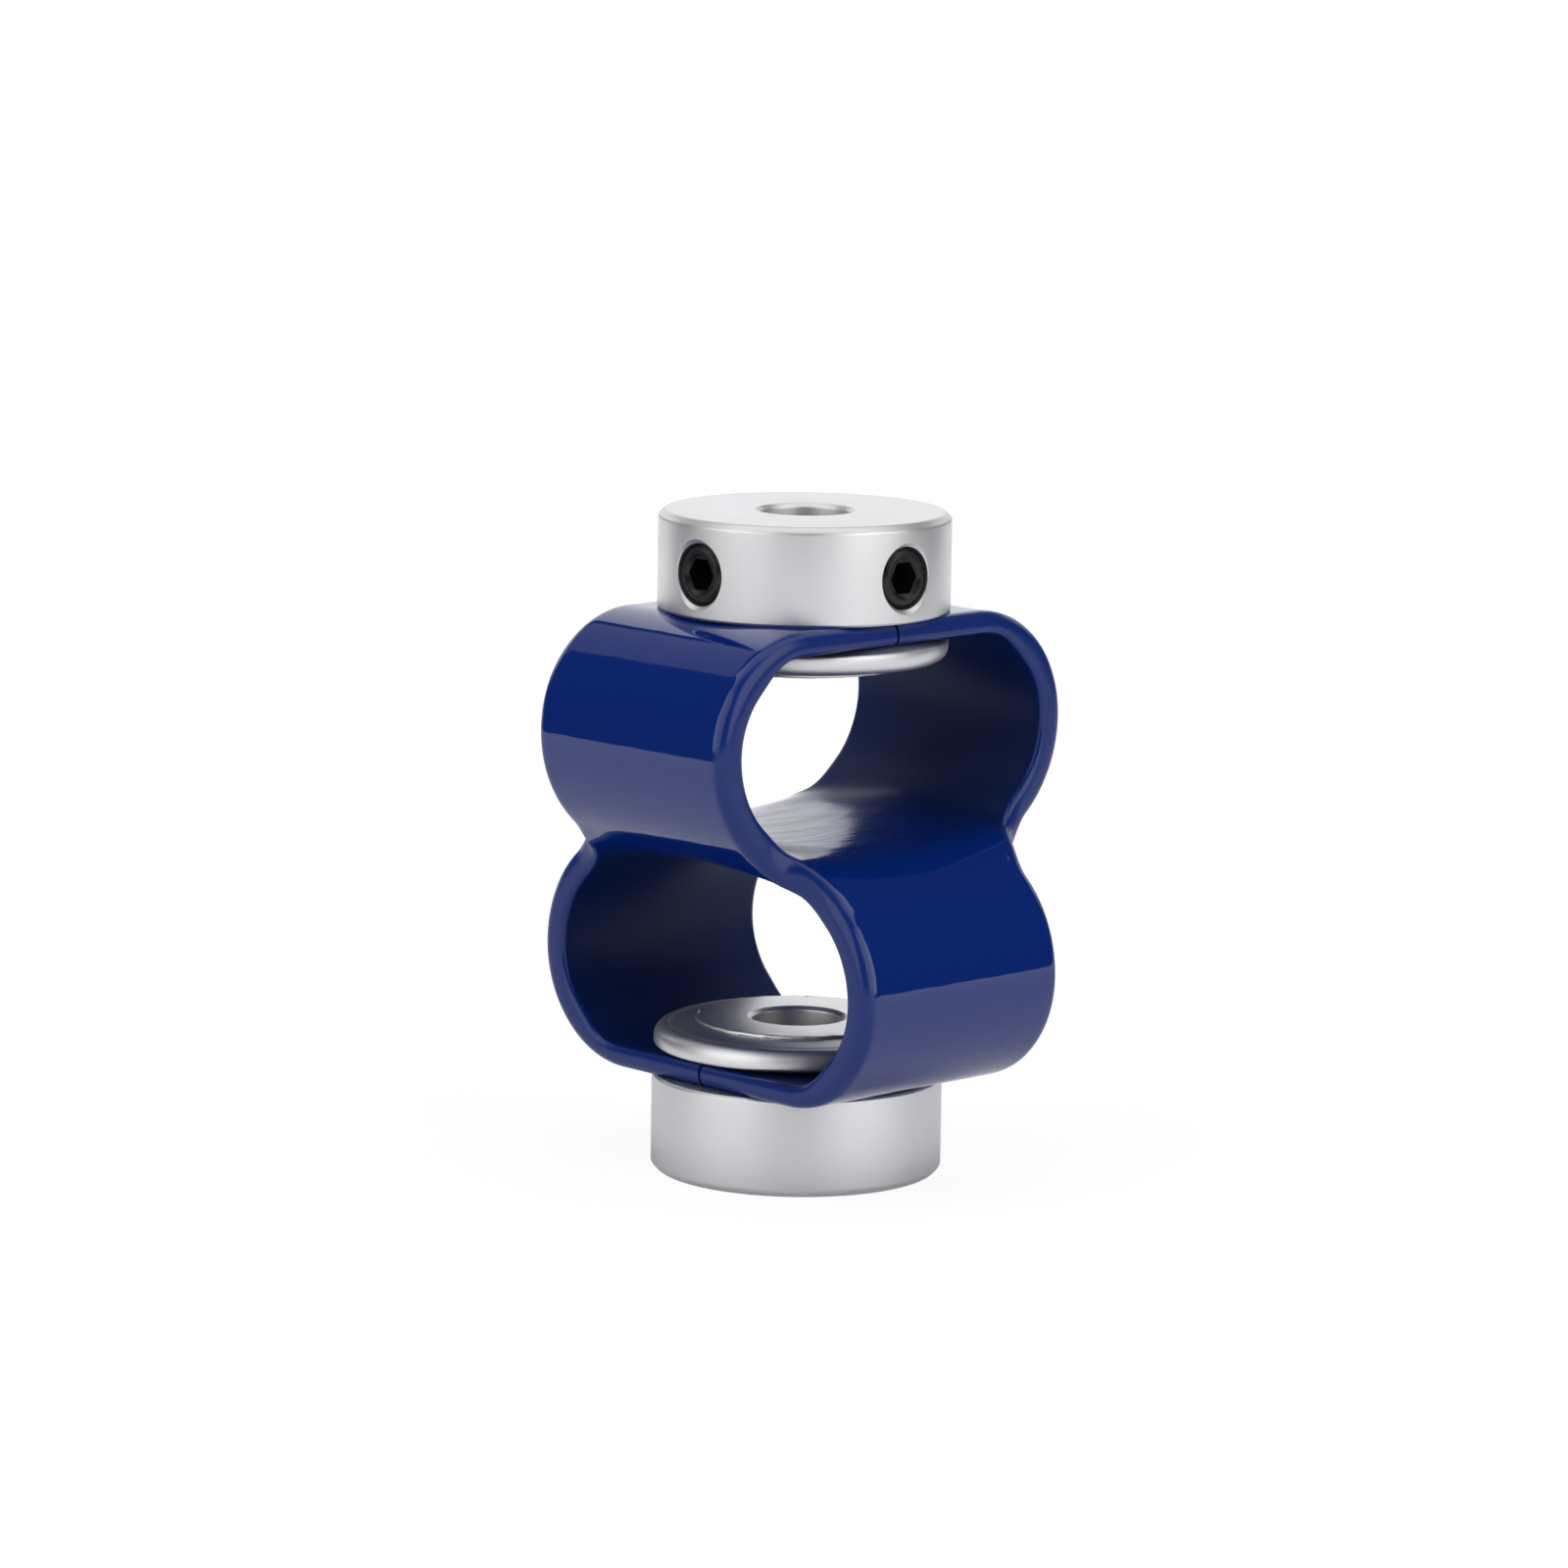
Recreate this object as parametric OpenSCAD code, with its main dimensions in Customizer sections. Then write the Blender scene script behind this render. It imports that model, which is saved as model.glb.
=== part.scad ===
// Double loop flexible coupling for two small shafts.
// One cross-shaped plastic band is bent into two loops at right angles to each other.
// Two aluminium hubs are riveted to the loops, each with two set screws for its shaft.
// The origin is the middle of the crossing between the loops, and +Z is the shaft axis.
// The upper loop bulges along X and the lower loop along Y. Sizes are in millimetres.

/* [Hubs] */
// Outer diameter of a hub
hub_od = 19; // [18:0.1:20]
// Length of a hub outside the loops
hub_h = 6.4; // [6:0.1:9]
// Diameter of the shaft bore
bore_d = 6; // [4:0.1:6.4]
// Chamfer at each mouth of the bore
bore_chamfer = 0.25; // [0.1:0.05:0.5]
// Chamfer round the outer end of a hub
end_chamfer = 0.4; // [0.2:0.05:0.8]
// Edge break round the shoulder that the band sits against
shoulder_break = 0.15; // [0.05:0.05:0.4]
// Diameter of the spigot that passes through the band and the washer
spigot_d = 11; // [10:0.1:12]
// Diameter of the rivet head that is rolled into the washer's countersink
head_d = 13.4; // [13:0.1:14]
// Height of the rivet head above the washer
head_t = 0.2; // [0.1:0.05:0.4]

/* [Band] */
// Distance between the two hub shoulders
hub_gap = 30.6; // [29.4:0.1:34]
// Width of the band
band_w = 17.5; // [16:0.1:18.5]
// Thickness of the band
band_t = 2; // [1.8:0.05:2.4]
// Distance from the shaft axis to the outside of a loop at its widest
loop_reach = 15.35; // [15:0.05:16.5]
// Middle radius of the bend beside a hub
shoulder_r = 6.5; // [5.6:0.1:6.6]
// Middle radius of the bend beside the crossing
belly_r = 7.4; // [7:0.1:7.6]
// Radius of the four inner corners of the cross
notch_r = 3.4; // [2:0.1:4]
// Radius of the band's edges on the outside of the loops
outer_edge_r = 0.85; // [0.4:0.05:0.95]
// Radius of the band's edges on the inside of the loops
inner_edge_r = 0.45; // [0.2:0.05:0.55]
// Depth by which the washer presses the arm ends thinner
press_t = 0.5; // [0.1:0.05:0.6]
// Gap between the two arm ends that meet under a hub
seam_gap = 0.2; // [0.1:0.05:0.5]
// Length of each arm over which the arch of the crossing fades out
arch_fade = 2.6; // [1.5:0.1:4]

/* [Washers] */
// Distance of a washer's rim inside the hub's skin
washer_inset = 0.1; // [0:0.05:0.6]
// Thickness of a washer beside the rivet head
washer_t = 1.95; // [1.8:0.05:2.2]
// Height that the open face slopes down from the rivet head to the rim
slope_t = 0.25; // [0.1:0.05:0.4]
// Radius of the washer's rim on the open side
rim_r = 0.9; // [0.5:0.05:1]
// Depth of the countersink that takes the rivet head
sink_t = 0.8; // [0.5:0.05:1]
// Width of the turned groove beside the rim
groove_w = 0.3; // [0.2:0.05:0.4]
// Depth of the turned groove beside the rim
groove_t = 0.08; // [0.05:0.01:0.15]

/* [Set screws] */
// Thread diameter of a set screw
screw_d = 4; // [3:0.5:4]
// Length of a set screw
screw_len = 6; // [5:0.1:6.2]
// Distance of a set screw's face below the hub's skin
screw_sink = 0.2; // [0.1:0.05:0.4]
// Height of the set screws above the hub's shoulder
screw_rise = 2.9; // [2.6:0.1:3.4]
// Width of the hexagon socket across its flats
socket_af = 2; // [1.3:0.1:2.2]
// Depth of the hexagon socket
socket_depth = 2; // [1:0.1:3]
// Diameter of the hollow cup at the tip
cup_d = 2; // [1:0.1:2.4]
// Width of the chamfer round a set screw's face
face_chamfer = 0.25; // [0.1:0.05:0.5]
// Width of the countersink at the mouth of a tapped hole
mouth_chamfer = 0.15; // [0.1:0.05:0.4]

/* [Clearances] */
// Gap between a washer's rim and the bend of the band beside it
bend_gap = 0.15; // [0.05:0.05:0.3]
// Gap round the spigot in the band and the washer
spigot_gap = 0.05; // [0.03:0.01:0.15]
// Gap round the thread of a set screw
thread_gap = 0.04; // [0.02:0.01:0.1]

/* [Hidden] */

band_blue = [0.05, 0.11, 0.42];
aluminium = [0.80, 0.81, 0.82];
black_oxide = [0.10, 0.10, 0.11];

round_fn = 96;
thread_fn = 48;
arc_steps = 4;
cut = 1;
rim_land = 0.05;

shoulder_z = hub_gap / 2;
end_z = shoulder_z + hub_h;
band_face = shoulder_z - band_t + press_t;
washer_face = band_face - washer_t;
head_z = washer_face - head_t;

// The loop's profile in its own plane, along the middle of the band's thickness:
// a shallow valley at the crossing, the belly bend, the shoulder bend and a flat end.
spigot_r = spigot_d / 2;
mid_reach = loop_reach - band_t / 2;
mid_top = shoulder_z - band_t / 2;
widest_z = mid_top - shoulder_r;
belly_u = mid_reach - belly_r;
belly_z = widest_z - belly_r;
valley_angle = 2 * atan2(belly_z, belly_u);
valley_r = belly_r + (belly_u * belly_u + belly_z * belly_z) / (2 * belly_z);

function arc_len(r, angle) = r * angle * PI / 180;
function arc_angle(r, len) = len / r * 180 / PI;

valley_end = arc_len(valley_r, valley_angle);
belly_end = valley_end + arc_len(belly_r, 90 - valley_angle);
shoulder_end = belly_end + arc_len(shoulder_r, 90);
arm_len = shoulder_end + mid_reach - shoulder_r - seam_gap / 2;

// Bulge and height of the profile at a length s from the crossing's middle
function profile(s) =
    s < valley_end ?
        let (a = arc_angle(valley_r, s))
        [valley_r * sin(a), valley_r * (1 - cos(a))] :
    s < belly_end ?
        let (a = valley_angle + arc_angle(belly_r, s - valley_end))
        [belly_u + belly_r * sin(a), widest_z - belly_r * cos(a)] :
    s < shoulder_end ?
        let (a = 90 + arc_angle(shoulder_r, s - belly_end))
        [mid_reach - shoulder_r + shoulder_r * sin(a), widest_z - shoulder_r * cos(a)] :
        [mid_reach - shoulder_r - (s - shoulder_end), mid_top];

// The flat cross, before it is bent. Its inner corners are arcs of notch_r, and
// corner_s is where the middle of such an arc lies, on both arms alike.
half_w = band_w / 2;
notch_s = half_w + notch_r;
corner_s = notch_s - notch_r * sin(45);

function half_width(s) =
    s < notch_s ? notch_s - sqrt(notch_r * notch_r - pow(notch_s - s, 2)) : half_w;

// Outward direction of the cross's outline at a length s along an arm
function edge_dir(s) =
    s < notch_s ? [notch_s - s, notch_s - half_width(s)] / notch_r : [0, 1];

// Share of the crossing's arch that an arm keeps at a length s
function arch(s) =
    let (f = min(max((s - corner_s) / arch_fade, 0), 1))
    1 - f * f * (3 - 2 * f);

// A point of the flat cross, moved to its place on the bent band's middle surface
function bent(p, q) =
    let (pu = profile(abs(p)), qu = profile(abs(q)))
    let (keep_p = abs(q) > corner_s ? arch(abs(q)) : 1)
    let (keep_q = abs(p) > corner_s ? arch(abs(p)) : 1)
    [p + keep_p * (sign(p) * pu[0] - p),
     q + keep_q * (sign(q) * qu[0] - q),
     keep_p * pu[1] - keep_q * qu[1]];

// The same point moved off the middle surface by w, along the surface's normal
probe = 0.001;
function placed(p, q, w) =
    let (dp = bent(p + probe, q) - bent(p - probe, q))
    let (dq = bent(p, q + probe) - bent(p, q - probe))
    let (n = cross(dp, dq))
    bent(p, q) + w * n / norm(n);

// Rows and columns of the band's surface
cols = 8;
edge_steps = 5;
ring = 2 * (cols + 1) + 2 * (edge_steps - 1);
half_t = band_t / 2;

notch_rows = 5;
fade_rows = 4;
belly_rows = 11;
shoulder_rows = 13;
flat_rows = 3;
function between(a, b, n) = [for (i = [1 : n]) a + (b - a) * i / n];
fade_end = corner_s + arch_fade;
arm_rows = concat([corner_s], between(corner_s, notch_s, notch_rows),
                  between(notch_s, max(fade_end, notch_s + probe), fade_rows),
                  between(max(fade_end, notch_s + probe), belly_end, belly_rows),
                  between(belly_end, shoulder_end, shoulder_rows),
                  between(shoulder_end, arm_len, flat_rows));
last_row = len(arm_rows) - 1;

// Thickness lost under the washer at a length s, on the loop's inner side only
press_start = shoulder_end - arc_len(shoulder_r, 45);
press_end = shoulder_end - arc_len(shoulder_r, 12);
function pressed(s) =
    let (f = min(max((s - press_start) / (press_end - press_start), 0), 1))
    press_t * f * f * (3 - 2 * f);

// Section of an arm at row i, as flat places [along, across, off the surface].
// It runs over the top, round one edge, back under the band and round the other.
// The loop's inner face is the top on arms 0 and 2, and the underside on arms 1 and 3.
function section(arm, i) =
    let (s = arm_rows[i], h = half_width(s), e = edge_dir(s))
    let (top = half_t - (arm % 2 == 0 ? pressed(s) : 0))
    let (low = (arm % 2 == 1 ? pressed(s) : 0) - half_t)
    let (r_top = edge_radius(s, arm % 2 == 0), r_low = edge_radius(s, arm % 2 == 1))
    concat(
        [for (j = [0 : cols]) face_point(s, h, e * r_top, j, top)],
        [for (k = [1 : edge_points]) edge_point(s, h, e, 90 - 180 * k / edge_steps, 1, top, low, r_top, r_low)],
        [for (j = [cols : -1 : 0]) face_point(s, h, e * r_low, j, low)],
        [for (k = [1 : edge_points]) edge_point(s, h, e, 180 * k / edge_steps - 90, -1, top, low, r_top, r_low)]);

// Radius of an edge at a length s. At the crossing's corners inside and outside change
// over from one loop to the other, so there it is the mean of the two.
corner_edge_r = (outer_edge_r + inner_edge_r) / 2;
function edge_radius(s, inside) =
    let (f = min((s - corner_s) / (notch_s - corner_s), 1))
    corner_edge_r + f * ((inside ? inner_edge_r : outer_edge_r) - corner_edge_r);

// Point of a face at column j. The outer columns stop where the rounded edge starts.
function face_point(s, h, e, j, w) =
    j == 0 ? [s - e[0], -h + e[1], w] :
    j == cols ? [s - e[0], h - e[1], w] :
    [s, h * (2 * j / cols - 1), w];

// Point on the rounded edge, which has a radius at each face and a flat between
function edge_point(s, h, e, angle, side, top, low, r_top, r_low) =
    let (out = (angle > 0 ? r_top : r_low) * (cos(angle) - 1))
    [s + e[0] * out,
     side * (h + e[1] * out),
     angle > 0 ? top - r_top * (1 - sin(angle)) : low + r_low * (1 + sin(angle))];

// Turns a place on arm 0 to arm 1, 2 or 3
function on_arm(arm, f) =
    arm == 0 ? f :
    arm == 1 ? [-f[1], f[0], f[2]] :
    arm == 2 ? [-f[0], -f[1], f[2]] :
    [f[1], -f[0], f[2]];

function placed_on(arm, f) = let (g = on_arm(arm, f)) placed(g[0], g[1], g[2]);

// The crossing is a square patch, and each arm starts from one of its four borders.
// Its points are the top grid, the bottom grid and the edges at its four corners.
function patch_point(i, j, w) =
    let (inset = (i == 0 || i == cols) && (j == 0 || j == cols) ? corner_edge_r * sin(45) : 0)
    let (p = corner_s * (2 * i / cols - 1), q = corner_s * (2 * j / cols - 1))
    placed(p - sign(p) * inset, q - sign(q) * inset, w);

patch_size = (cols + 1) * (cols + 1);
corner_base = 2 * patch_size;
arm_base = corner_base + 4 * (edge_steps - 1);
arm_size = last_row * ring;

function grid_index(i, j, side) = side * patch_size + i * (cols + 1) + j;

// Index of the patch's border point at column j of an arm, on the top (0) or bottom (1)
function border_index(arm, j, side) =
    arm == 0 ? grid_index(cols, j, side) :
    arm == 1 ? grid_index(cols - j, cols, side) :
    arm == 2 ? grid_index(0, cols - j, side) :
    grid_index(j, 0, side);

// Index of point k of the section at a row of an arm. Row 0 is the patch's border.
edge_points = edge_steps - 1;
under = cols + 1 + edge_points;
function section_index(arm, row, k) =
    row > 0 ? arm_base + arm * arm_size + (row - 1) * ring + k :
    k <= cols ? border_index(arm, k, 0) :
    k < under ? corner_base + arm * edge_points + k - cols - 1 :
    k <= under + cols ? border_index(arm, cols - (k - under), 1) :
    corner_base + (arm + 3) % 4 * edge_points + edge_points - 1 - (k - under - cols - 1);

patch_points = [for (w = [half_t, -half_t]) for (i = [0 : cols]) for (j = [0 : cols]) patch_point(i, j, w)];
corner_points = [for (arm = [0 : 3]) for (k = [0 : edge_points - 1])
    placed_on(arm, section(arm, 0)[cols + 1 + k])];
arm_points = [for (arm = [0 : 3]) for (i = [1 : last_row]) for (f = section(arm, i)) placed_on(arm, f)];

patch_faces = [for (side = [0, 1]) for (i = [0 : cols - 1]) for (j = [0 : cols - 1])
    let (a = grid_index(i, j, side), b = grid_index(i + 1, j, side))
    each side == 0 ? [[a, a + 1, b], [b, a + 1, b + 1]] : [[a, b, a + 1], [b, b + 1, a + 1]]];
arm_faces = [for (arm = [0 : 3]) for (i = [0 : last_row - 1]) for (k = [0 : ring - 1])
    let (a = section_index(arm, i, k), b = section_index(arm, i, (k + 1) % ring))
    let (c = section_index(arm, i + 1, k), d = section_index(arm, i + 1, (k + 1) % ring))
    each [[a, b, c], [b, d, c]]];
end_faces = [for (arm = [0 : 3])
    let (at = section_index(arm, last_row, 0))
    each concat(
        [for (j = [0 : cols - 1])
            let (low = at + under + cols - j)
            each [[at + j, at + j + 1, low], [at + j + 1, low - 1, low]]],
        [for (k = [1 : edge_points]) [at + cols, at + cols + k, at + cols + k + 1]],
        [for (k = [1 : edge_points])
            let (low = under + cols)
            [at + low, at + low + k, at + (low + k + 1) % ring]])];

// Quarter of a circle from one direction to another, as points for a turned outline
function fillet(centre, r, from, to) =
    [for (k = [0 : arc_steps])
        let (a = from + (to - from) * k / arc_steps)
        centre + r * [cos(a), sin(a)]];

// The one-piece band with the two holes that its arm ends form round the spigots
module loop_band() {
    color(band_blue)
    difference() {
        polyhedron(points = concat(patch_points, corner_points, arm_points),
                   faces = concat(patch_faces, arm_faces, end_faces), convexity = 8);
        for (side = [-1, 1])
            translate([0, 0, side * mid_top])
            cylinder(d = spigot_d + 2 * spigot_gap, h = 2 * band_t, center = true, $fn = round_fn);
    }
}

// A turned hub with its spigot and rivet head, on the upper side. The head fills the
// washer's countersink and stands head_t proud of it.
module hub() {
    bore_r = bore_d / 2;
    hub_r = hub_od / 2;
    head_r = head_d / 2;
    head_edge = head_t / 2;
    color(aluminium)
    difference() {
        rotate_extrude($fn = round_fn)
        polygon(concat(
            [[bore_r + bore_chamfer, end_z],
             [hub_r - end_chamfer, end_z],
             [hub_r, end_z - end_chamfer],
             [hub_r, shoulder_z + shoulder_break],
             [hub_r - shoulder_break, shoulder_z],
             [spigot_r, shoulder_z],
             [spigot_r, washer_face + sink_t],
             [head_r, washer_face]],
            fillet([head_r - head_edge, head_z + head_edge], head_edge, 0, -90),
            [[bore_r + bore_chamfer, head_z],
             [bore_r, head_z + bore_chamfer],
             [bore_r, end_z - bore_chamfer]]));
        for (turn = [180, 270])
            rotate([0, 0, turn])
            tapped_hole();
    }
}

hole_r = screw_d / 2 + thread_gap;
screw_z = shoulder_z + screw_rise;

// Tapped hole along +X from the bore to the hub's skin, with a countersunk mouth
module tapped_hole() {
    translate([0, 0, screw_z])
    rotate([0, 90, 0]) {
        cylinder(r = hole_r, h = hub_od / 2 + cut, $fn = thread_fn);
        translate([0, 0, hub_od / 2 - mouth_chamfer])
        cylinder(r1 = hole_r, r2 = hole_r + mouth_chamfer, h = mouth_chamfer, $fn = thread_fn);
    }
}

// Socket set screw along +X with a chamfered face, a hexagon socket and a cup point
module set_screw() {
    face_x = hub_od / 2 - screw_sink;
    tip_x = face_x - screw_len;
    screw_r = screw_d / 2;
    cup_r = cup_d / 2;
    tip_land = 0.15;
    color(black_oxide)
    translate([0, 0, screw_z])
    rotate([0, 90, 0])
    difference() {
        rotate_extrude($fn = thread_fn)
        polygon([[0, tip_x + cup_r / 2],
                 [cup_r, tip_x],
                 [cup_r + tip_land, tip_x],
                 [screw_r, tip_x + screw_r - cup_r - tip_land],
                 [screw_r, face_x - face_chamfer],
                 [screw_r - face_chamfer, face_x],
                 [0, face_x]]);
        translate([0, 0, face_x - socket_depth])
        cylinder(d = socket_af / cos(30), h = socket_depth + cut, $fn = 6);
    }
}

// Washer on the inside of the upper loop. Its open side faces down and slopes from a
// countersink at the rivet head to a turned groove and a rounded rim. Beside the flat
// that presses on the band, its back is eased off to clear the bend.
module washer() {
    washer_r = hub_od / 2 - washer_inset;
    hole_edge = spigot_r + spigot_gap;
    sink_edge = head_d / 2 + spigot_gap;
    rim_z = washer_face + slope_t;
    bend_start = mid_reach - shoulder_r;
    bend_r = shoulder_r + press_t - half_t;
    bend_drop = bend_r - sqrt(bend_r * bend_r - pow(washer_r - bend_start, 2));
    back_z = band_face - bend_drop - bend_gap;
    edge = min(rim_r, back_z - rim_z - rim_land);
    slope_end = washer_r - edge;
    color(aluminium)
    rotate_extrude($fn = round_fn)
    polygon(concat(
        [[hole_edge, washer_face + sink_t],
         [hole_edge, band_face],
         [bend_start, band_face],
         [washer_r, back_z]],
        fillet([slope_end, rim_z + edge], edge, 0, -90),
        [[slope_end - groove_w / 2, rim_z + groove_t],
         [slope_end - groove_w, rim_z],
         [sink_edge, washer_face]]));
}

// Half a turn about the line x = y puts an upper piece in its place on the lower loop
module to_lower() {
    rotate([180, 0, 0])
    rotate([0, 0, 90])
    children();
}

loop_band();
hub();  // upper_hub
to_lower() hub();  // lower_hub
washer();  // upper_washer
to_lower() washer();  // lower_washer
rotate([0, 0, 180]) set_screw();  // upper_set_screw_left
rotate([0, 0, 270]) set_screw();  // upper_set_screw_right
to_lower() rotate([0, 0, 180]) set_screw();  // lower_set_screw_left
to_lower() rotate([0, 0, 270]) set_screw();  // lower_set_screw_right
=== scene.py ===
from math import atan2, copysign, cos, hypot, pi, radians, sin, sqrt

import bmesh
import bpy
from mathutils import Matrix, Vector, noise


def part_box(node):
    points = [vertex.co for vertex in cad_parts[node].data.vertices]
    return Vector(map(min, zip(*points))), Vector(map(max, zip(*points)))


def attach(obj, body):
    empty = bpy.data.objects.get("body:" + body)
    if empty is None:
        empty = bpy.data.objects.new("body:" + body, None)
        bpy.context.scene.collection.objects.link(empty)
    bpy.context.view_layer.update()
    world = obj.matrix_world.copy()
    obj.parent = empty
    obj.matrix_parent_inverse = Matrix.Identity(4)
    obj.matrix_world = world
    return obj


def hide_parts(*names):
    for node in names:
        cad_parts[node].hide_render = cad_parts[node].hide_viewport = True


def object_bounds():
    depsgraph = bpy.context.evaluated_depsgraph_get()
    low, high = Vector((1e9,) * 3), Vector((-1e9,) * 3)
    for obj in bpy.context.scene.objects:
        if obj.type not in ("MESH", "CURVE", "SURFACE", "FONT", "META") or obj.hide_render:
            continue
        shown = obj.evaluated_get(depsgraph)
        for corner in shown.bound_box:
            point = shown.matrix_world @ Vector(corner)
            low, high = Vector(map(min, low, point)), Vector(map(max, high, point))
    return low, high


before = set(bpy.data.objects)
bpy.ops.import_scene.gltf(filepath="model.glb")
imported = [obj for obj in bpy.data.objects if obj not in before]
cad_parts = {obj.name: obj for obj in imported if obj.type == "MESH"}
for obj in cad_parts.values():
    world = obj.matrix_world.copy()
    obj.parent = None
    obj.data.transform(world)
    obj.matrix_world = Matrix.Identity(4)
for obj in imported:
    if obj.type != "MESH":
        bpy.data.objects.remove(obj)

cad_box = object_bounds()

# Camera.
# It stands where the photograph was taken from: a long lens, a little above the part,
# turned so that both loops show, and leaning by under one degree.
mm = 0.001
scene = bpy.context.scene
scene.view_settings.view_transform = "Standard"

camera_turn = radians(43.75)
camera_rise = radians(9.635)
camera_lean = radians(0.856)
camera_distance = 429.7 * mm
aim_right = -1.113 * mm
aim_height = 3.688 * mm

toward = Vector((
    -cos(camera_rise) * sin(camera_turn),
    -cos(camera_rise) * cos(camera_turn),
    sin(camera_rise)))
level = Vector((cos(camera_turn), -sin(camera_turn), 0))
aim = level * aim_right + Vector((0, 0, aim_height))
across = level * cos(camera_lean) + toward.cross(level) * sin(camera_lean)
upward = toward.cross(across)

lens = bpy.data.cameras.new("camera")
lens.sensor_width = 36
lens.lens = 151.8
lens.clip_end = 20
camera = bpy.data.objects.new("camera", lens)
camera.matrix_world = Matrix.Translation(aim + toward * camera_distance) @ Matrix(
    (across, upward, toward)).transposed().to_4x4()
scene.collection.objects.link(camera)
scene.camera = camera


# Studio.
# A pale table and a pale sweep behind the part. Past them the camera sees a white room, while
# light and reflections meet a dark tent. Six softboxes light the part, and two dark cards
# keep most of the table out of the reflections in it.
class Signal:
    """A socket of a material's node, with the arithmetic that the finishes need."""

    def __init__(self, tree, socket=None):
        self.tree = tree
        self.socket = socket

    def node(self, kind, settings=None, inputs=None, output=0):
        """Adds a node, applies its settings, then sets or links its inputs."""
        made = self.tree.nodes.new(kind)
        for name, value in (settings or {}).items():
            setattr(made, name, value)
        for name, value in (inputs or {}).items():
            if isinstance(value, Signal):
                self.tree.links.new(value.socket, made.inputs[name])
            else:
                made.inputs[name].default_value = value
        return Signal(self.tree, made.outputs[output] if made.outputs else None)

    def math(self, operation, *values):
        return self.node("ShaderNodeMath", {"operation": operation}, dict(enumerate(values)))

    def length(self):
        return self.node("ShaderNodeVectorMath", {"operation": "LENGTH"}, {0: self}, output="Value")

    def fade(self, start, end, first=0, last=1):
        """Goes smoothly from the first value to the last while the signal goes from start to end."""
        return self.node("ShaderNodeMapRange", {"interpolation_type": "SMOOTHSTEP"}, {
            "Value": self, "From Min": start, "From Max": end, "To Min": first, "To Max": last})

    def speckle(self, scale, detail=2):
        """Noise over the places that the signal holds, with that many specks to the metre."""
        return self.node("ShaderNodeTexNoise", None, {"Vector": self, "Scale": scale, "Detail": detail})

    def bump(self, strength, distance):
        return self.node("ShaderNodeBump", None, {
            "Strength": strength, "Distance": distance, "Height": self})

    def blend(self, first, second):
        """One colour that turns into another. The mix node has its colours on sockets 6, 7 and 2."""
        return self.node("ShaderNodeMix", {"data_type": "RGBA"}, {"Factor": self, 6: first, 7: second}, 2)

    def __add__(self, other):
        return self.math("ADD", self, other)

    def __sub__(self, other):
        return self.math("SUBTRACT", self, other)

    def __rsub__(self, other):
        return self.math("SUBTRACT", other, self)

    def __mul__(self, other):
        return self.math("MULTIPLY", self, other)

    def __pow__(self, power):
        return self.math("POWER", self, power)

    def __abs__(self):
        return self.math("ABSOLUTE", self)

    __radd__ = __add__


def new_material(name):
    """An empty material and the signal that its nodes are made from."""
    material = bpy.data.materials.new(name)
    material.use_nodes = True
    material.node_tree.nodes.clear()
    return material, Signal(material.node_tree)


def finish(base, surface):
    """Ends a material with its surface."""
    base.node("ShaderNodeOutputMaterial", None, {"Surface": surface})


seen_near = 0.88
seen_far = 0.99
mirrored_near = 0.25
mirrored_far = 0.78
glow_start = 40 * mm
glow_end = 400 * mm
contact_shade_start = 23.5 * mm
contact_shade_end = 27.5 * mm
paper_seen = (0.18, 0.18, 0.18, 1)
paper_lit = (0.80, 0.80, 0.82, 1)


def pale_material(name):
    """Pale paper. Eyes and reflections see its own glow, and it takes shadows as paper does. The glow that
    reflections see fades out under and round the lower hub: painted shade in the mirrored table.
    """
    material, base = new_material(name)
    seen = base.node("ShaderNodeLightPath", output="Is Camera Ray")
    mirrored = base.node("ShaderNodeLightPath", output="Is Glossy Ray")
    reach = base.node("ShaderNodeTexCoord", output="Object").length()
    share = reach.fade(glow_start, glow_end)
    # Painted shade: reflections of the table lose their glow where the part stands on it.
    contact_shade = reach.fade(contact_shade_start, contact_shade_end)
    glow_seen = seen * (seen_near + share * (seen_far - seen_near))
    glow_mirrored = mirrored * contact_shade * (mirrored_near + share * (mirrored_far - mirrored_near))
    paper = base.node("ShaderNodeBsdfDiffuse", None, {"Color": seen.blend(paper_lit, paper_seen)})
    light = base.node("ShaderNodeEmission", None, {"Strength": glow_seen + glow_mirrored})
    finish(base, base.node("ShaderNodeAddShader", None, {0: paper, 1: light}))
    return material


def mesh_piece(name, bm):
    mesh = bpy.data.meshes.new(name)
    bm.to_mesh(mesh)
    bm.free()
    piece = bpy.data.objects.new(name, mesh)
    scene.collection.objects.link(piece)
    return piece


def stage_piece(name, bm, material):
    """A piece of the studio, which isn't part of the object."""
    piece = mesh_piece(name, bm)
    piece.data.materials.append(material)
    return piece


table_z = cad_box[0][2]
table_reach = 4.0
bm = bmesh.new()
bmesh.ops.create_circle(bm, cap_ends=True, segments=64, radius=table_reach)
bmesh.ops.translate(bm, vec=(0, 0, table_z), verts=bm.verts)
paper = pale_material("studio_paper")
stage_piece("table", bm, paper)

sweep_distance = 0.9
sweep_height = 1.1
sweep_spread = radians(44)
bm = bmesh.new()
behind = -toward.xy.normalized() * sweep_distance
sweep_start = Matrix.Rotation(-sweep_spread / 2, 3, "Z") @ behind.to_3d()
foot = bm.verts.new(sweep_start + Vector((0, 0, table_z)))
top = bm.verts.new(foot.co + Vector((0, 0, sweep_height)))
edge = bm.edges.new((foot, top))
bmesh.ops.spin(bm, geom=[foot, top, edge], cent=(0, 0, 0), axis=(0, 0, 1), angle=sweep_spread,
               steps=48)
stage_piece("sweep", bm, paper)

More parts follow.
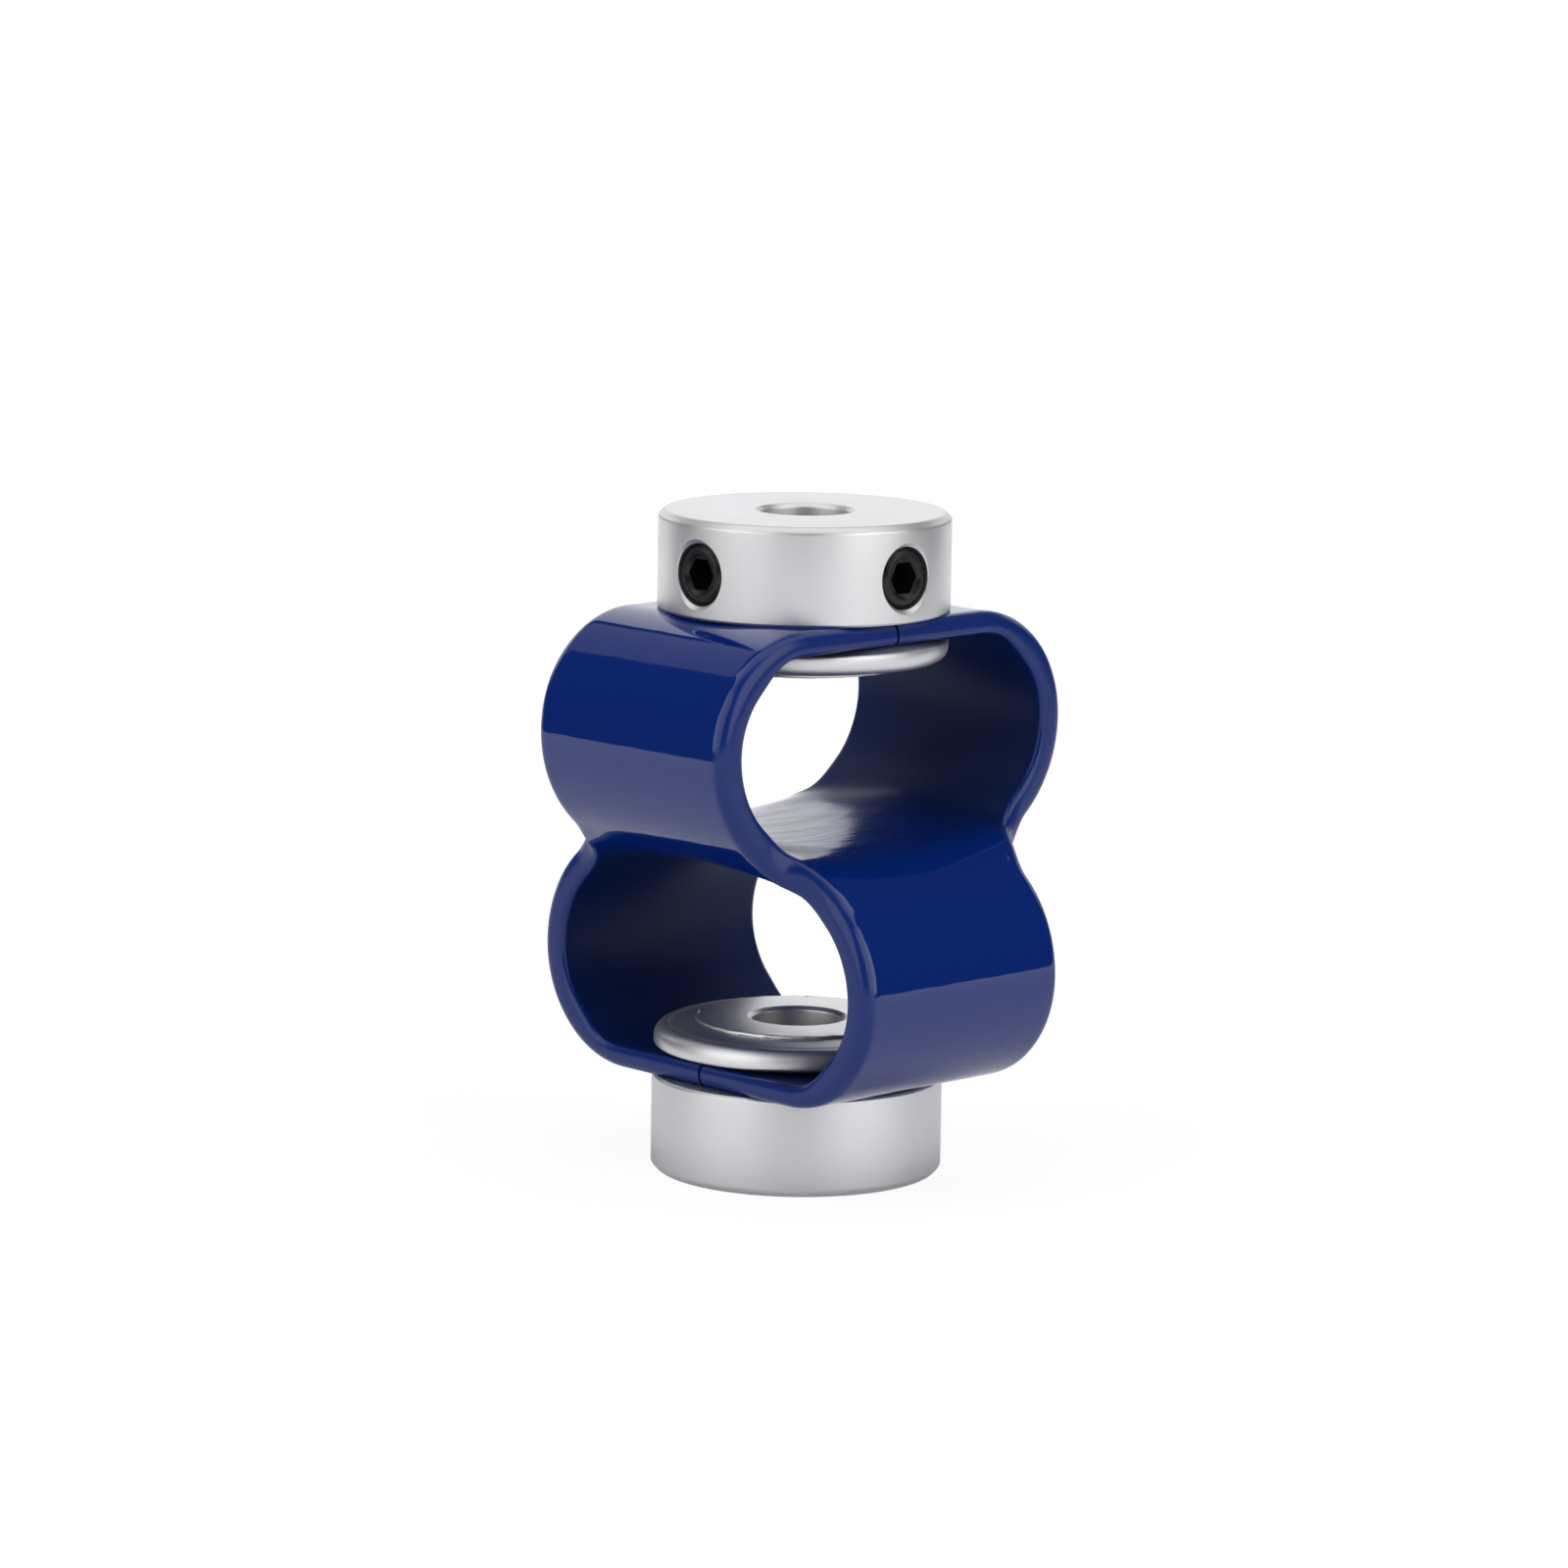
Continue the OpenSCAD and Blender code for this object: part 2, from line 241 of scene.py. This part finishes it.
tent_reach = 3.0
bm = bmesh.new()
bmesh.ops.create_uvsphere(bm, u_segments=32, v_segments=16, radius=tent_reach)
cloth, base = new_material("tent_cloth")
finish(base, base.node("ShaderNodeEmission", None, {"Color": (0.045, 0.047, 0.055, 1)}))
tent = stage_piece("tent", bm, cloth)
tent.visible_camera = False

card_z = table_z + 0.1 * mm
card_reach = 4.0
card_slant = 0.5
for name, start, back in (("left_card", -0.18, 0.13), ("right_card", 0.23, 0.30)):
    bm = bmesh.new()
    end = copysign(card_reach, start)
    far_back = back + card_slant * card_reach
    outline = ((start, -card_reach), (end, -card_reach), (end, far_back), (start, back))
    bm.faces.new([bm.verts.new((right, depth, card_z)) for right, depth in outline])
    bmesh.ops.recalc_face_normals(bm, faces=bm.faces)
    bm.transform(Matrix.Rotation(-camera_turn, 4, "Z"))
    card = stage_piece(name, bm, cloth)
    card.visible_camera = card.visible_diffuse = card.visible_shadow = False

room = bpy.data.worlds.new("room")
room.use_nodes = True
scene.world = room
room.node_tree.nodes["Background"].inputs["Color"].default_value = (1, 1, 1, 1)


def softbox(name, turn, rise, distance, width, height, watts):
    """An area lamp that looks at the part, turned round it and raised by angles in degrees."""
    lamp = bpy.data.lights.new(name, "AREA")
    lamp.shape = "RECTANGLE"
    lamp.size = width
    lamp.size_y = height
    lamp.energy = watts
    box = bpy.data.objects.new(name, lamp)
    side = radians(turn) + camera_turn
    level_share = cos(radians(rise))
    way = Vector((-level_share * sin(side), -level_share * cos(side), sin(radians(rise))))
    facing = way.to_track_quat("Z", "Y").to_matrix().to_4x4()
    box.matrix_world = Matrix.Translation(way * distance) @ facing
    scene.collection.objects.link(box)


softbox("overhead", 180, 88, 1.0, 1.7, 0.8, 5.2)
softbox("left_front", 55, 24, 0.8, 0.9, 0.8, 3.3)
softbox("right_front", -53, 24, 0.8, 0.85, 0.8, 3.6)
softbox("left_back", 137, 41, 0.9, 0.42, 0.22, 0.10)
softbox("left_rim", 141, 20, 0.8, 0.36, 0.24, 0.45)
softbox("right_rim", -141, 20, 0.8, 0.36, 0.24, 0.36)

# Band.
# One flat cross of polyurethane, bent into two loops at right angles. Its four arm ends
# lie under the hubs, where the washers press them a little thinner.
band_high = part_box("loop_band")[1]
loop_reach = band_high.x
shoulder_z = band_high.z
band_w = 17.5 * mm
band_t = 2 * mm
shoulder_r = 6.5 * mm
belly_r = 7.4 * mm
notch_r = 3.4 * mm
outer_edge_r = 0.85 * mm
inner_edge_r = 0.45 * mm
crossing_edge_r = 0.55 * mm
end_edge_r = 0.12 * mm
press_t = 0.5 * mm
seam_gap = 0.2 * mm
arch_fade = 2.6 * mm
spigot_hole_r = 5.55 * mm
inner_start = 0.55
tiny = 0.001 * mm

mid_reach = loop_reach - band_t / 2
mid_top = shoulder_z - band_t / 2
widest_z = mid_top - shoulder_r
belly_u = mid_reach - belly_r
belly_z = widest_z - belly_r
valley_angle = 2 * atan2(belly_z, belly_u)
valley_r = belly_r + (belly_u ** 2 + belly_z ** 2) / (2 * belly_z)
valley_end = valley_r * valley_angle
belly_end = valley_end + belly_r * (pi / 2 - valley_angle)
shoulder_end = belly_end + shoulder_r * pi / 2
arm_len = shoulder_end + mid_reach - shoulder_r - seam_gap / 2
half_w = band_w / 2
notch_s = half_w + notch_r
corner_s = notch_s - notch_r * sqrt(0.5)
press_start = shoulder_end - shoulder_r * radians(45)
press_end = shoulder_end - shoulder_r * radians(12)


def smooth_step(x, start, end):
    f = min(max((x - start) / (end - start), 0), 1)
    return f * f * (3 - 2 * f)


def loop_profile(s):
    """Bulge and height of a loop's middle surface at a length s from the crossing."""
    if s < valley_end:
        a = s / valley_r
        return valley_r * sin(a), valley_r * (1 - cos(a))
    if s < belly_end:
        a = valley_angle + (s - valley_end) / belly_r
        return belly_u + belly_r * sin(a), widest_z - belly_r * cos(a)
    if s < shoulder_end:
        a = pi / 2 + (s - belly_end) / shoulder_r
        return mid_reach - shoulder_r + shoulder_r * sin(a), widest_z - shoulder_r * cos(a)
    return mid_reach - shoulder_r - (s - shoulder_end), mid_top


def half_width(s):
    return notch_s - sqrt(notch_r ** 2 - (notch_s - s) ** 2) if s < notch_s else half_w


def bent(p, q):
    """Where a point of the flat cross lies on the bent middle surface."""
    u, rise = loop_profile(abs(p))
    v, drop = loop_profile(abs(q))
    keep_p = 1 - smooth_step(abs(q), corner_s, corner_s + arch_fade)
    keep_q = 1 - smooth_step(abs(p), corner_s, corner_s + arch_fade)
    return Vector((p + keep_p * (copysign(u, p) - p),
                   q + keep_q * (copysign(v, q) - q),
                   keep_p * rise - keep_q * drop))


def bent_point(p, q, w):
    """The same, moved off the middle surface by w."""
    along_p = bent(p + tiny, q) - bent(p - tiny, q)
    along_q = bent(p, q + tiny) - bent(p, q - tiny)
    return bent(p, q) + w * along_p.cross(along_q).normalized()


def cut_away(piece, bm):
    """Cuts a closed shape out of a piece."""
    tool = mesh_piece("tool", bm)
    cut = piece.modifiers.new("cut", "BOOLEAN")
    cut.object = tool
    cut.solver = "MANIFOLD"
    piece.data = bpy.data.meshes.new_from_object(piece.evaluated_get(bpy.context.evaluated_depsgraph_get()))
    piece.modifiers.clear()
    bpy.data.objects.remove(tool)


arm_rows = 78
band_cols = 30
rim_cuts = 11
flat_share = 2 / (rim_cuts + 1)

# The flat cross is one arm, turned into four, round the crossing. Its two faces stand at the
# heights -1 and 1, and a point's height says how near it lies to them.
bm = bmesh.new()
bmesh.ops.create_grid(bm, x_segments=arm_rows, y_segments=band_cols, size=1)
for vert in bm.verts:
    s = corner_s + (arm_len - corner_s) * (vert.co.x + 1) / 2
    vert.co = (s, vert.co.y * half_width(s), 0)
bmesh.ops.spin(bm, geom=bm.faces[:], cent=(0, 0, 0), axis=(0, 0, 1), angle=1.5 * pi, steps=3,
               use_duplicate=True)
bmesh.ops.create_grid(bm, x_segments=band_cols, y_segments=band_cols, size=corner_s)
bmesh.ops.remove_doubles(bm, verts=bm.verts, dist=tiny)
bmesh.ops.solidify(bm, geom=bm.faces[:], thickness=2)
top_z = max(vert.co.z for vert in bm.verts)
for vert in bm.verts:
    vert.co.z += 1 - top_z
inner_tag = bm.verts.layers.float.new("inner")
rim_tag = bm.verts.layers.float.new("rim")
rim = [edge for edge in bm.edges if abs(edge.verts[0].co.z - edge.verts[1].co.z) > 1]
bmesh.ops.subdivide_edges(bm, edges=rim, cuts=rim_cuts)

# Each point is moved in from the arm's sides and end by its rim's rounding, then bent.
for vert in bm.verts:
    p, q, side = vert.co
    along = max(abs(p), abs(q))
    wide = min(abs(p), abs(q))
    on_x = abs(p) >= abs(q)
    on_face = abs(side) > 0.999
    angle = pi / 2 * max(abs(side) - flat_share, 0) / (1 - flat_share)
    inner_side = on_x == (side > 0)
    change = smooth_step(along, corner_s, notch_s)
    inner_r = crossing_edge_r + (inner_edge_r - crossing_edge_r) * change
    outer_r = crossing_edge_r + (outer_edge_r - crossing_edge_r) * change
    edge_r = inner_r if inner_side else outer_r
    inset = edge_r * (1 - cos(angle))
    if along > corner_s:
        share = (wide / half_width(along)) ** 4
        slope = max(notch_s - along, 0) / notch_r
        back = share * inset * slope
        narrow = share * inset * sqrt(1 - slope ** 2)
        if along > arm_len - tiny:
            back += end_edge_r * (1 - cos(angle))
    else:
        share = (along * wide / corner_s ** 2) ** 4
        back = narrow = share * inset * sqrt(0.5)
    press = press_t * smooth_step(along, press_start, press_end)
    upper_w = band_t / 2 - (press if on_x else 0)
    under_w = (0 if on_x else press) - band_t / 2
    rim_lean = (outer_r - inner_r) / 2
    if abs(side) < 0.001:
        w = (upper_w + under_w) / 2 + (rim_lean if on_x else -rim_lean)
    else:
        w = (upper_w if side > 0 else under_w) - copysign(edge_r * (1 - sin(angle)), side)
    if on_x:
        p, q = p - copysign(back, p), q - copysign(narrow, q)
    else:
        p, q = p - copysign(narrow, p), q - copysign(back, q)
    vert.co = bent_point(p, q, w)
    if along > corner_s:
        depth = 1.0 if inner_side else 0.0
    else:
        depth = 1 - smooth_step(abs(q) if side > 0 else abs(p), inner_start * corner_s, corner_s)
    vert[inner_tag] = depth if on_face else 0.0
    vert[rim_tag] = 0.0 if on_face else 1.0
bmesh.ops.recalc_face_normals(bm, faces=bm.faces)
band = mesh_piece("band", bm)

bm = bmesh.new()
for side in (-1, 1):
    made = bmesh.ops.create_cone(bm, cap_ends=True, segments=128, radius1=spigot_hole_r,
                                 radius2=spigot_hole_r, depth=2 * band_t)
    bmesh.ops.translate(bm, vec=(0, 0, side * mid_top), verts=made["verts"])
cut_away(band, bm)
for face in band.data.polygons:
    face.use_smooth = True
band.data.set_sharp_from_angle(angle=radians(40))

band_material, base = new_material("blue_gloss")
place = base.node("ShaderNodeTexCoord", output="Object")
inner = base.node("ShaderNodeAttribute", {"attribute_name": "inner"}, output="Fac")
rim_edge = base.node("ShaderNodeAttribute", {"attribute_name": "rim"}, output="Fac")
valley = place.length().fade(6.5 * mm, 11 * mm, 1, 0)
wave = place.speckle(160)
dimple = place.speckle(520)
drawn = base.node("ShaderNodeMapping", None, {"Vector": place, "Scale": (110, 500, 300)})
streak = drawn.speckle(1, 3)
ripple = (wave * 0.5 + dimple * 0.13 + streak * inner * valley * 3).bump(1, 0.06 * mm)
skin = rim_edge.blend((0.0015, 0.020, 0.178, 1), (0.001, 0.026, 0.225, 1))
gloss = base.node("ShaderNodeBsdfPrincipled", None, {
    "Base Color": skin, "Roughness": 0.05 + inner * 0.15 + rim_edge * 0.15, "IOR": 1.56,
    "Normal": ripple})
# The inside of the loops takes a rougher copy of the blue, darker and weaker in its reflection: painted
# shade, for the little light that reaches in there. Near the crossing the inside keeps the outer gloss, and
# the rims take a share of the darker copy too.
shaded_satin = base.node("ShaderNodeBsdfPrincipled", None, {
    "Base Color": (0.002, 0.014, 0.092, 1), "Roughness": 0.42, "IOR": 1.5,
    "Specular IOR Level": 0.18, "Normal": ripple})
finish(base, base.node("ShaderNodeMixShader", None, {
    0: inner * (1 - valley * 0.85) + rim_edge * 0.45, 1: gloss, 2: shaded_satin}))
band.data.materials.clear()
band.data.materials.append(band_material)
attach(band, "root")
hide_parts("loop_band")

# Hubs.
# Turned from aluminium bar and lightly blasted. A spigot passes through the band and the
# washer, and its end is rolled over into the washer's countersink as a rough rivet head.
hub_low, hub_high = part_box("upper_hub")
washer_low, washer_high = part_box("upper_washer")
screw_low, screw_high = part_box("upper_set_screw_left")
hub_r = hub_high.x
end_z = hub_high.z
head_z = hub_low.z
washer_face = washer_low.z
screw_z = (screw_low.z + screw_high.z) / 2
screw_r = (screw_high.y - screw_low.y) / 2
bore_r = 3 * mm
bore_chamfer = 0.25 * mm
end_chamfer = 0.4 * mm
shoulder_break = 0.15 * mm
spigot_r = 5.5 * mm
head_r = 6.7 * mm
head_sink = 0.8 * mm
hole_r = screw_r + 0.04 * mm
mouth_chamfer = 0.26 * mm
soft_corner = 0.12 * mm
crisp_corner = 0.05 * mm
head_ring = 0.4 * mm
tear_depth = 0.10 * mm
tear_height = 0.05 * mm
tear_size = 0.5 * mm
fine_tear_size = 0.2 * mm
burr_r = 6.5 * mm
burr_z = 11.7 * mm


def turned(corners, steps=192):
    """A closed mesh turned about Z from corners of (radius, height, rounding)."""
    bm = bmesh.new()
    outline = [bm.verts.new((r, 0, z)) for r, z, rounding in corners]
    bm.faces.new(outline)
    for vert, (r, z, rounding) in zip(outline, corners):
        if rounding:
            bmesh.ops.bevel(bm, geom=[vert], affect="VERTICES", offset=rounding, segments=5,
                            profile=0.5, material=-1, clamp_overlap=False)
    bmesh.ops.delete(bm, geom=bm.faces[:], context="FACES_ONLY")
    on_axis = [edge for edge in bm.edges if max(vert.co.x for vert in edge.verts) < tiny]
    bmesh.ops.delete(bm, geom=on_axis, context="EDGES")
    bmesh.ops.spin(bm, geom=bm.verts[:] + bm.edges[:], cent=(0, 0, 0), axis=(0, 0, 1), angle=2 * pi,
                   steps=steps, use_merge=True)
    bmesh.ops.remove_doubles(bm, verts=bm.verts, dist=tiny / 2)
    bmesh.ops.recalc_face_normals(bm, faces=bm.faces)
    return bm


def fit_piece(piece, end, node, material):
    """Puts an upper piece in its place, with its finish, where it stands for a CAD node."""
    if end == "lower":
        piece.data.transform(Matrix.Rotation(pi, 4, "X") @ Matrix.Rotation(pi / 2, 4, "Z"))
    for face in piece.data.polygons:
        face.use_smooth = True
    piece.data.set_sharp_from_angle(angle=radians(35))
    piece.data.materials.clear()
    piece.data.materials.append(material)
    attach(piece, "root")
    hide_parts(node)


metal_material, base = new_material("turned_aluminium")
place = base.node("ShaderNodeTexCoord", output="Object")
x, y, z = (base.node("ShaderNodeSeparateXYZ", None, {"Vector": place}, output=axis) for axis in "XYZ")
radius = (x * x + y * y) ** 0.5
rings = base.node("ShaderNodeCombineXYZ", None, {"X": radius, "Y": z}).speckle(9000)
grain = place.speckle(8000)
clouds = place.speckle(350)
burr = (abs(radius - burr_r) + abs(abs(z) - burr_z)).fade(0.3 * mm, 0.9 * mm, 1, 0)
marks = (rings * 0.7 + grain * (0.7 + burr * 5)).bump(0.3, 0.01 * mm)
metal = base.node("ShaderNodeBsdfPrincipled", None, {
    "Base Color": (0.73, 0.73, 0.732, 1), "Metallic": 1, "Roughness": 0.38 + clouds * 0.1,
    "Normal": marks})
finish(base, metal)

hub_corners = [
    (bore_r + bore_chamfer, end_z, crisp_corner),
    (hub_r - end_chamfer, end_z, soft_corner),
    (hub_r, end_z - end_chamfer, soft_corner),
    (hub_r, shoulder_z + shoulder_break, crisp_corner),
    (hub_r - shoulder_break, shoulder_z, 0),
    (spigot_r, shoulder_z, 0),
    (spigot_r, washer_face + head_sink, 0),
    (head_r, washer_face, 0),
    (head_r, head_z, soft_corner),
    (head_r - head_ring, head_z, 0),
    (bore_r + bore_chamfer, head_z, crisp_corner),
    (bore_r, head_z + bore_chamfer, crisp_corner),
    (bore_r, end_z - bore_chamfer, crisp_corner)]
drill_corners = [
    (0, 0, 0),
    (hole_r, 0, 0),
    (hole_r, hub_r - mouth_chamfer, 0),
    (hole_r + mouth_chamfer, hub_r, 0),
    (hole_r + mouth_chamfer, hub_r + mouth_chamfer, 0),
    (0, hub_r + mouth_chamfer, 0)]
screw_turns = {"left": pi, "right": 1.5 * pi}


def set_across(turn):
    """Turns a shape on the Z axis into a set screw's place across the upper hub."""
    lying = Matrix.Rotation(turn, 4, "Z") @ Matrix.Rotation(pi / 2, 4, "Y")
    return Matrix.Translation((0, 0, screw_z)) @ lying


for end in ("upper", "lower"):
    bm = turned(hub_corners)
    for vert in bm.verts:
        reach = hypot(vert.co.x, vert.co.y)
        if vert.co.z < washer_face + tiny and reach > head_r - 2 * soft_corner:
            tear = noise.noise(vert.co / tear_size) + 0.6 * noise.noise(vert.co / fine_tear_size)
            on_side = vert.co.z > head_z + 0.02 * mm
            vert.co.xy *= 1 - tear_depth * abs(tear) / reach
            vert.co.z += tear_height * (min(tear, 0) if on_side else abs(tear))
    hub = mesh_piece(end + "_turned_hub", bm)
    for turn in screw_turns.values():
        bm = turned(drill_corners, 72)
        bm.transform(set_across(turn))
        cut_away(hub, bm)
    fit_piece(hub, end, end + "_hub", metal_material)

# Washers.
# Thick turned washers that spread the rivet heads' grip over the band. The open face slopes
# from the rivet head to a fine groove and a rounded rim, and the back clears the bend.
washer_r = washer_high.x
band_face = washer_high.z
washer_hole_r = spigot_r + 0.05 * mm
rim_z = washer_face + 0.25 * mm
rim_r = 0.9 * mm
groove_w = 0.3 * mm
groove_t = 0.08 * mm
bend_start = mid_reach - shoulder_r
bend_r = shoulder_r + press_t - band_t / 2
bend_gap = 0.15 * mm
back_z = band_face - bend_r + sqrt(bend_r ** 2 - (washer_r - bend_start) ** 2) - bend_gap
washer_corners = [
    (washer_hole_r, washer_face + head_sink, 0),
    (washer_hole_r, band_face, 0),
    (bend_start, band_face, crisp_corner),
    (washer_r, back_z, 0.2 * mm),
    (washer_r, rim_z, rim_r - 0.01 * mm),
    (washer_r - rim_r, rim_z, 0),
    (washer_r - rim_r - groove_w / 2, rim_z + groove_t, 0.02 * mm),
    (washer_r - rim_r - groove_w, rim_z, 0.04 * mm),
    (head_r + 0.05 * mm, washer_face, 0.02 * mm)]
for end in ("upper", "lower"):
    washer = mesh_piece(end + "_turned_washer", turned(washer_corners))
    fit_piece(washer, end, end + "_washer", metal_material)

# Set screws.
# Hexagon socket set screws with cup points, in blackened steel. Two lie a quarter turn
# apart in each hub, a little below its skin, and reach almost to the bore.
screw_face = -screw_low.x
screw_tip = -screw_high.x
cup_r = 1.0 * mm
tip_land = 0.15 * mm
tip_slope = screw_r - cup_r - tip_land
face_chamfer = 0.4 * mm
pitch = 0.7 * mm
thread_depth = 0.38 * mm
thread_rows = 70
thread_root = 1.25
thread_slope = 1.6
socket_r = 1.0 * mm / cos(pi / 6)
socket_depth = 2.0 * mm
socket_mouth = 0.2 * mm
socket_cuts = ((6, socket_r, socket_depth), (48, socket_r + 2 * socket_mouth, socket_mouth))
screw_corners = [
    (0, screw_tip + cup_r / 2, 0),
    (cup_r, screw_tip, 0),
    (cup_r + tip_land, screw_tip, crisp_corner),
    (screw_r, screw_tip + tip_slope, 0),
    (screw_r, screw_face - face_chamfer, crisp_corner),
    (screw_r - face_chamfer, screw_face, crisp_corner),
    (0, screw_face, 0)]

black_material, base = new_material("black_oxide")
place = base.node("ShaderNodeTexCoord", output="Object")
grain = place.speckle(2500, 3)
pits = grain.bump(0.5, 0.02 * mm)
black = base.node("ShaderNodeBsdfPrincipled", None, {
    "Base Color": (0.006, 0.006, 0.007, 1), "Roughness": 0.22 + grain * 0.2, "IOR": 1.45,
    "Normal": pits})
finish(base, black)

for end in ("upper", "lower"):
    for side, turn in screw_turns.items():
        bm = turned(screw_corners, 72)
        start = screw_tip + tip_slope
        stop = screw_face - face_chamfer - crisp_corner
        tall = (stop - start) / 2
        barrel = [edge for edge in bm.edges if abs(edge.verts[0].co.z - edge.verts[1].co.z) > tall]
        bmesh.ops.subdivide_edges(bm, edges=barrel, cuts=thread_rows, use_grid_fill=True)
        for vert in bm.verts:
            reach = hypot(vert.co.x, vert.co.y)
            if reach > screw_r - tiny and start < vert.co.z < stop:
                winding = (vert.co.z / pitch - atan2(vert.co.y, vert.co.x) / (2 * pi)) % 1
                run_out = min((vert.co.z - start) / pitch, (stop - vert.co.z) / pitch, 1)
                flank = min(max(thread_root - abs(2 * winding - 1) * thread_slope, 0), 1)
                vert.co.xy *= 1 - thread_depth * flank * run_out / reach
        screw = mesh_piece(end + "_black_screw_" + side, bm)
        for corners, open_r, depth in socket_cuts:
            bm = bmesh.new()
            bmesh.ops.create_cone(bm, cap_ends=True, segments=corners, radius1=socket_r,
                                  radius2=open_r, depth=2 * depth)
            bmesh.ops.translate(bm, vec=(0, 0, screw_face), verts=bm.verts)
            cut_away(screw, bm)
        screw.data.transform(set_across(turn))
        fit_piece(screw, end, end + "_set_screw_" + side, black_material)
